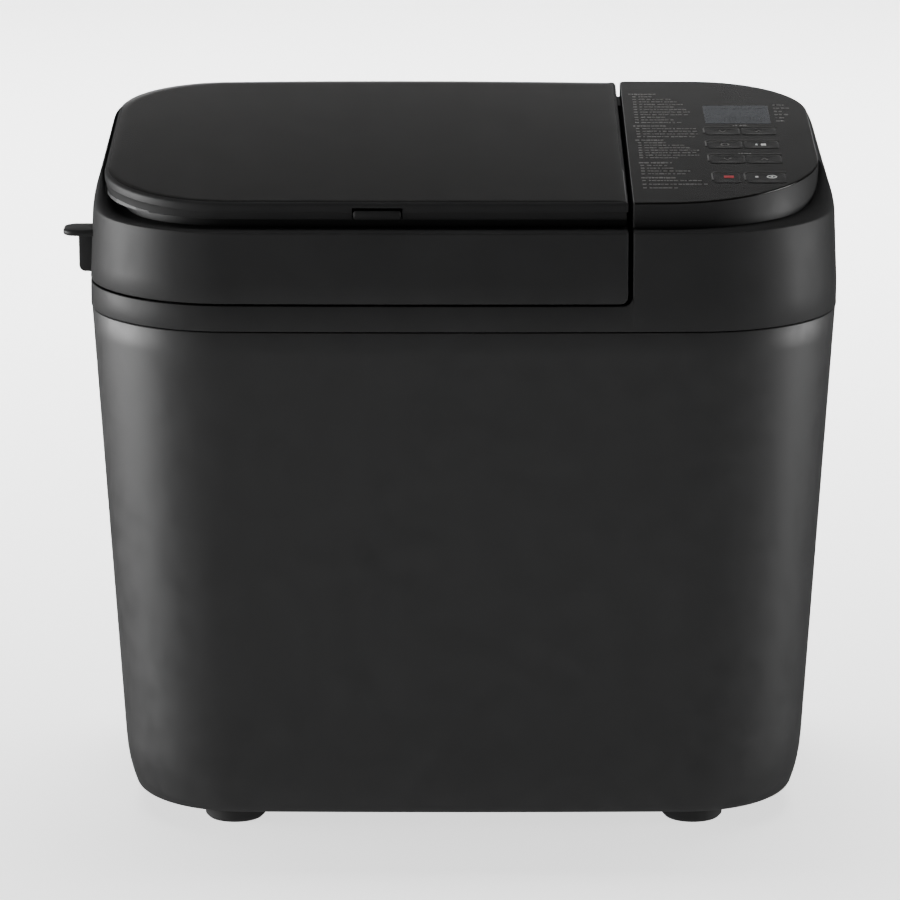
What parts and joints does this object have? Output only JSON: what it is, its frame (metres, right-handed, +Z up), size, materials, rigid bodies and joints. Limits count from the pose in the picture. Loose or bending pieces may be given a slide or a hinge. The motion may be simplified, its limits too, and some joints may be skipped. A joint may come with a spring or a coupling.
{
  "type": "bread machine",
  "caption": "Upright countertop bread machine with a sloping hinged lid, a dispenser lid, a keypad with a small display, and a lift-out pan driven by a belt from below.",
  "frame": {"origin": "on the table, at the middle of the bounding box's underside", "axes": "+X to the machine's right seen from the front, +Y to its back, +Z up"},
  "size_m": [0.408, 0.252, 0.3619],
  "materials": {
    "case_shell": "dark grey satin with a faint metallic fleck",
    "base_plastic": "fine spark texture",
    "foot_rubber": "matt",
    "band_plastic": "satin, very fine grain",
    "top_plastic": "satin gloss, slightly warm black",
    "panel_film": "satin gloss film, slightly warm black",
    "key_film": "satin gloss film over raised pads",
    "window_glass": "clear tinted window",
    "lcd_module": "grey liquid crystal display",
    "circuit_board": "green solder mask",
    "inner_plastic": "plain moulded",
    "fan_plastic": "natural moulded",
    "dispenser_plastic": "smooth moulded",
    "chamber_steel": "rolled aluminised sheet",
    "lid_aluminium": "satin sheet",
    "cast_alloy": "die cast",
    "capacitor_can": "drawn can",
    "heater_sheath": "oxidised sheath",
    "plated_steel": "zinc plated",
    "bright_steel": "ground",
    "motor_iron": "laminated and lacquered",
    "wire_chrome": "bright drawn wire",
    "fuse_brass": "plain",
    "bush_ceramic": "unglazed",
    "belt_rubber": "smooth",
    "gland_rubber": "matt",
    "seal_silicone": "soft matt",
    "pan_coating": "grey non-stick coating on cast metal",
    "blade_coating": "grey non-stick coating on cast metal"
  },
  "bodies": {
    "housing": {"outer_case": "case_shell", "base_plate": "base_plastic", "feet": "foot_rubber", "upper_frame": "band_plastic", "panel_overlay": "panel_film", "display_window": "window_glass", "display_module": "lcd_module", "control_board": "circuit_board", "key_switches": "inner_plastic", "baking_chamber": "chamber_steel", "heater_element": "heater_sheath", "heater_bushes": "bush_ceramic", "temperature_sensor": "plated_steel", "thermal_fuse": "fuse_brass", "chassis": "plated_steel", "pan_dock": "plated_steel", "shaft_bearings": "bright_steel", "drive_belt": "belt_rubber", "motor_stator": "motor_iron", "motor_mounts": "foot_rubber", "run_capacitor": "capacitor_can", "power_board": "circuit_board", "cord_gland": "gland_rubber", "lid_hinge_pin": "bright_steel", "hinge_knuckles": "band_plastic", "case_screws": "bright_steel"},
    "drive": {"drive_shaft": "bright_steel", "drive_coupling": "cast_alloy", "large_pulley": "inner_plastic"},
    "rotor": {"motor_rotor": "bright_steel", "motor_pulley": "cast_alloy", "cooling_fan": "fan_plastic"},
    "pan": {"bread_pan": "pan_coating", "pan_base": "cast_alloy", "pan_bush": "fuse_brass"},
    "bail": {"pan_handle": "wire_chrome"},
    "kneader": {"pan_shaft": "bright_steel", "wing_coupling": "cast_alloy", "kneading_blade": "blade_coating"},
    "main_lid": {"lid_skirt": "band_plastic", "lid_inner_plate": "lid_aluminium", "lid_seal": "seal_silicone", "dispenser_box": "dispenser_plastic", "steam_vent": "inner_plastic", "flap_solenoid": "motor_iron", "lid_grip": "band_plastic", "plate_hinge_pin": "bright_steel", "plunger_spring": "bright_steel"},
    "dispenser_lid": {"top_plate": "top_plastic", "plate_liner": "inner_plastic"},
    "flap": {"dispenser_flap": "lid_aluminium"},
    "plunger": {"solenoid_plunger": "plated_steel"},
    "key_menu_down_body": {"key_menu_down": "key_film"},
    "key_menu_up_body": {"key_menu_up": "key_film"},
    "key_size_body": {"key_size": "key_film"},
    "key_crust_body": {"key_crust": "key_film"},
    "key_time_down_body": {"key_time_down": "key_film"},
    "key_time_up_body": {"key_time_up": "key_film"},
    "key_stop_body": {"key_stop": "key_film"},
    "key_start_body": {"key_start": "key_film"}
  },
  "joints": [
    {"name": "main_lid_hinge", "type": "hinge", "parent": "housing", "child": "main_lid", "pos_m": [0, 0.119, 0.2936], "axis": [-1, 0, 0], "range_deg": [0, 80]},
    {"name": "dispenser_lid_hinge", "type": "hinge", "parent": "main_lid", "child": "dispenser_lid", "pos_m": [0, 0.1174, 0.35693], "axis": [-1, 0, 0], "range_deg": [0, 75]},
    {"name": "dispenser_flap_hinge", "type": "hinge", "parent": "main_lid", "child": "flap", "pos_m": [-0.063, 0.032, 0.2802], "axis": [1, 0, 0], "range_deg": [0, 60], "stiffness_Nm_per_rad": 0.06, "springref_deg": -34.38},
    {"name": "plunger_slide", "type": "slide", "parent": "main_lid", "child": "plunger", "axis": [0, -1, 0], "range_m": [0, 0.0172], "deforming": ["plunger_spring"]},
    {"name": "pan_twist", "type": "hinge", "parent": "housing", "child": "pan", "pos_m": [-0.043, 0, 0.08], "axis": [0, 0, 1], "range_deg": [0, 16]},
    {"name": "bail_swing", "type": "hinge", "parent": "pan", "child": "bail", "pos_m": [-0.043, 0, 0.226], "axis": [-1, 0, 0], "range_deg": [0, 35]},
    {"name": "drive_spin", "type": "hinge", "parent": "housing", "child": "drive", "pos_m": [-0.043, 0, 0.05], "axis": [0, 0, 1], "continuous": true},
    {"name": "rotor_spin", "type": "hinge", "parent": "housing", "child": "rotor", "pos_m": [0.125, 0.016, 0.05], "axis": [0, 0, 1], "continuous": true},
    {"name": "kneader_spin", "type": "hinge", "parent": "pan", "child": "kneader", "pos_m": [-0.043, 0, 0.1], "axis": [0, 0, 1], "continuous": true},
    {"name": "key_menu_down_press", "type": "slide", "parent": "housing", "child": "key_menu_down_body", "axis": [0, 0.1008, -0.9949], "range_m": [0, 0.0008], "stiffness_N_per_m": 900, "springref_m": -0.0004},
    {"name": "key_menu_up_press", "type": "slide", "parent": "housing", "child": "key_menu_up_body", "axis": [0, 0.1008, -0.9949], "range_m": [0, 0.0008], "stiffness_N_per_m": 900, "springref_m": -0.0004},
    {"name": "key_size_press", "type": "slide", "parent": "housing", "child": "key_size_body", "axis": [0, 0.1008, -0.9949], "range_m": [0, 0.0008], "stiffness_N_per_m": 900, "springref_m": -0.0004},
    {"name": "key_crust_press", "type": "slide", "parent": "housing", "child": "key_crust_body", "axis": [0, 0.1008, -0.9949], "range_m": [0, 0.0008], "stiffness_N_per_m": 900, "springref_m": -0.0004},
    {"name": "key_time_down_press", "type": "slide", "parent": "housing", "child": "key_time_down_body", "axis": [0, 0.1008, -0.9949], "range_m": [0, 0.0008], "stiffness_N_per_m": 900, "springref_m": -0.0004},
    {"name": "key_time_up_press", "type": "slide", "parent": "housing", "child": "key_time_up_body", "axis": [0, 0.1008, -0.9949], "range_m": [0, 0.0008], "stiffness_N_per_m": 900, "springref_m": -0.0004},
    {"name": "key_stop_press", "type": "slide", "parent": "housing", "child": "key_stop_body", "axis": [0, 0.1008, -0.9949], "range_m": [0, 0.0008], "stiffness_N_per_m": 900, "springref_m": -0.0004},
    {"name": "key_start_press", "type": "slide", "parent": "housing", "child": "key_start_body", "axis": [0, 0.1008, -0.9949], "range_m": [0, 0.0008], "stiffness_N_per_m": 900, "springref_m": -0.0004}
  ],
  "couplings": [
    {"joint": "plunger_slide", "follows": "dispenser_flap_hinge", "m_per_rad": 0.016234},
    {"joint": "rotor_spin", "follows": "drive_spin", "ratio": 4.8767},
    {"joint": "kneader_spin", "follows": "drive_spin", "ratio": 1}
  ]
}
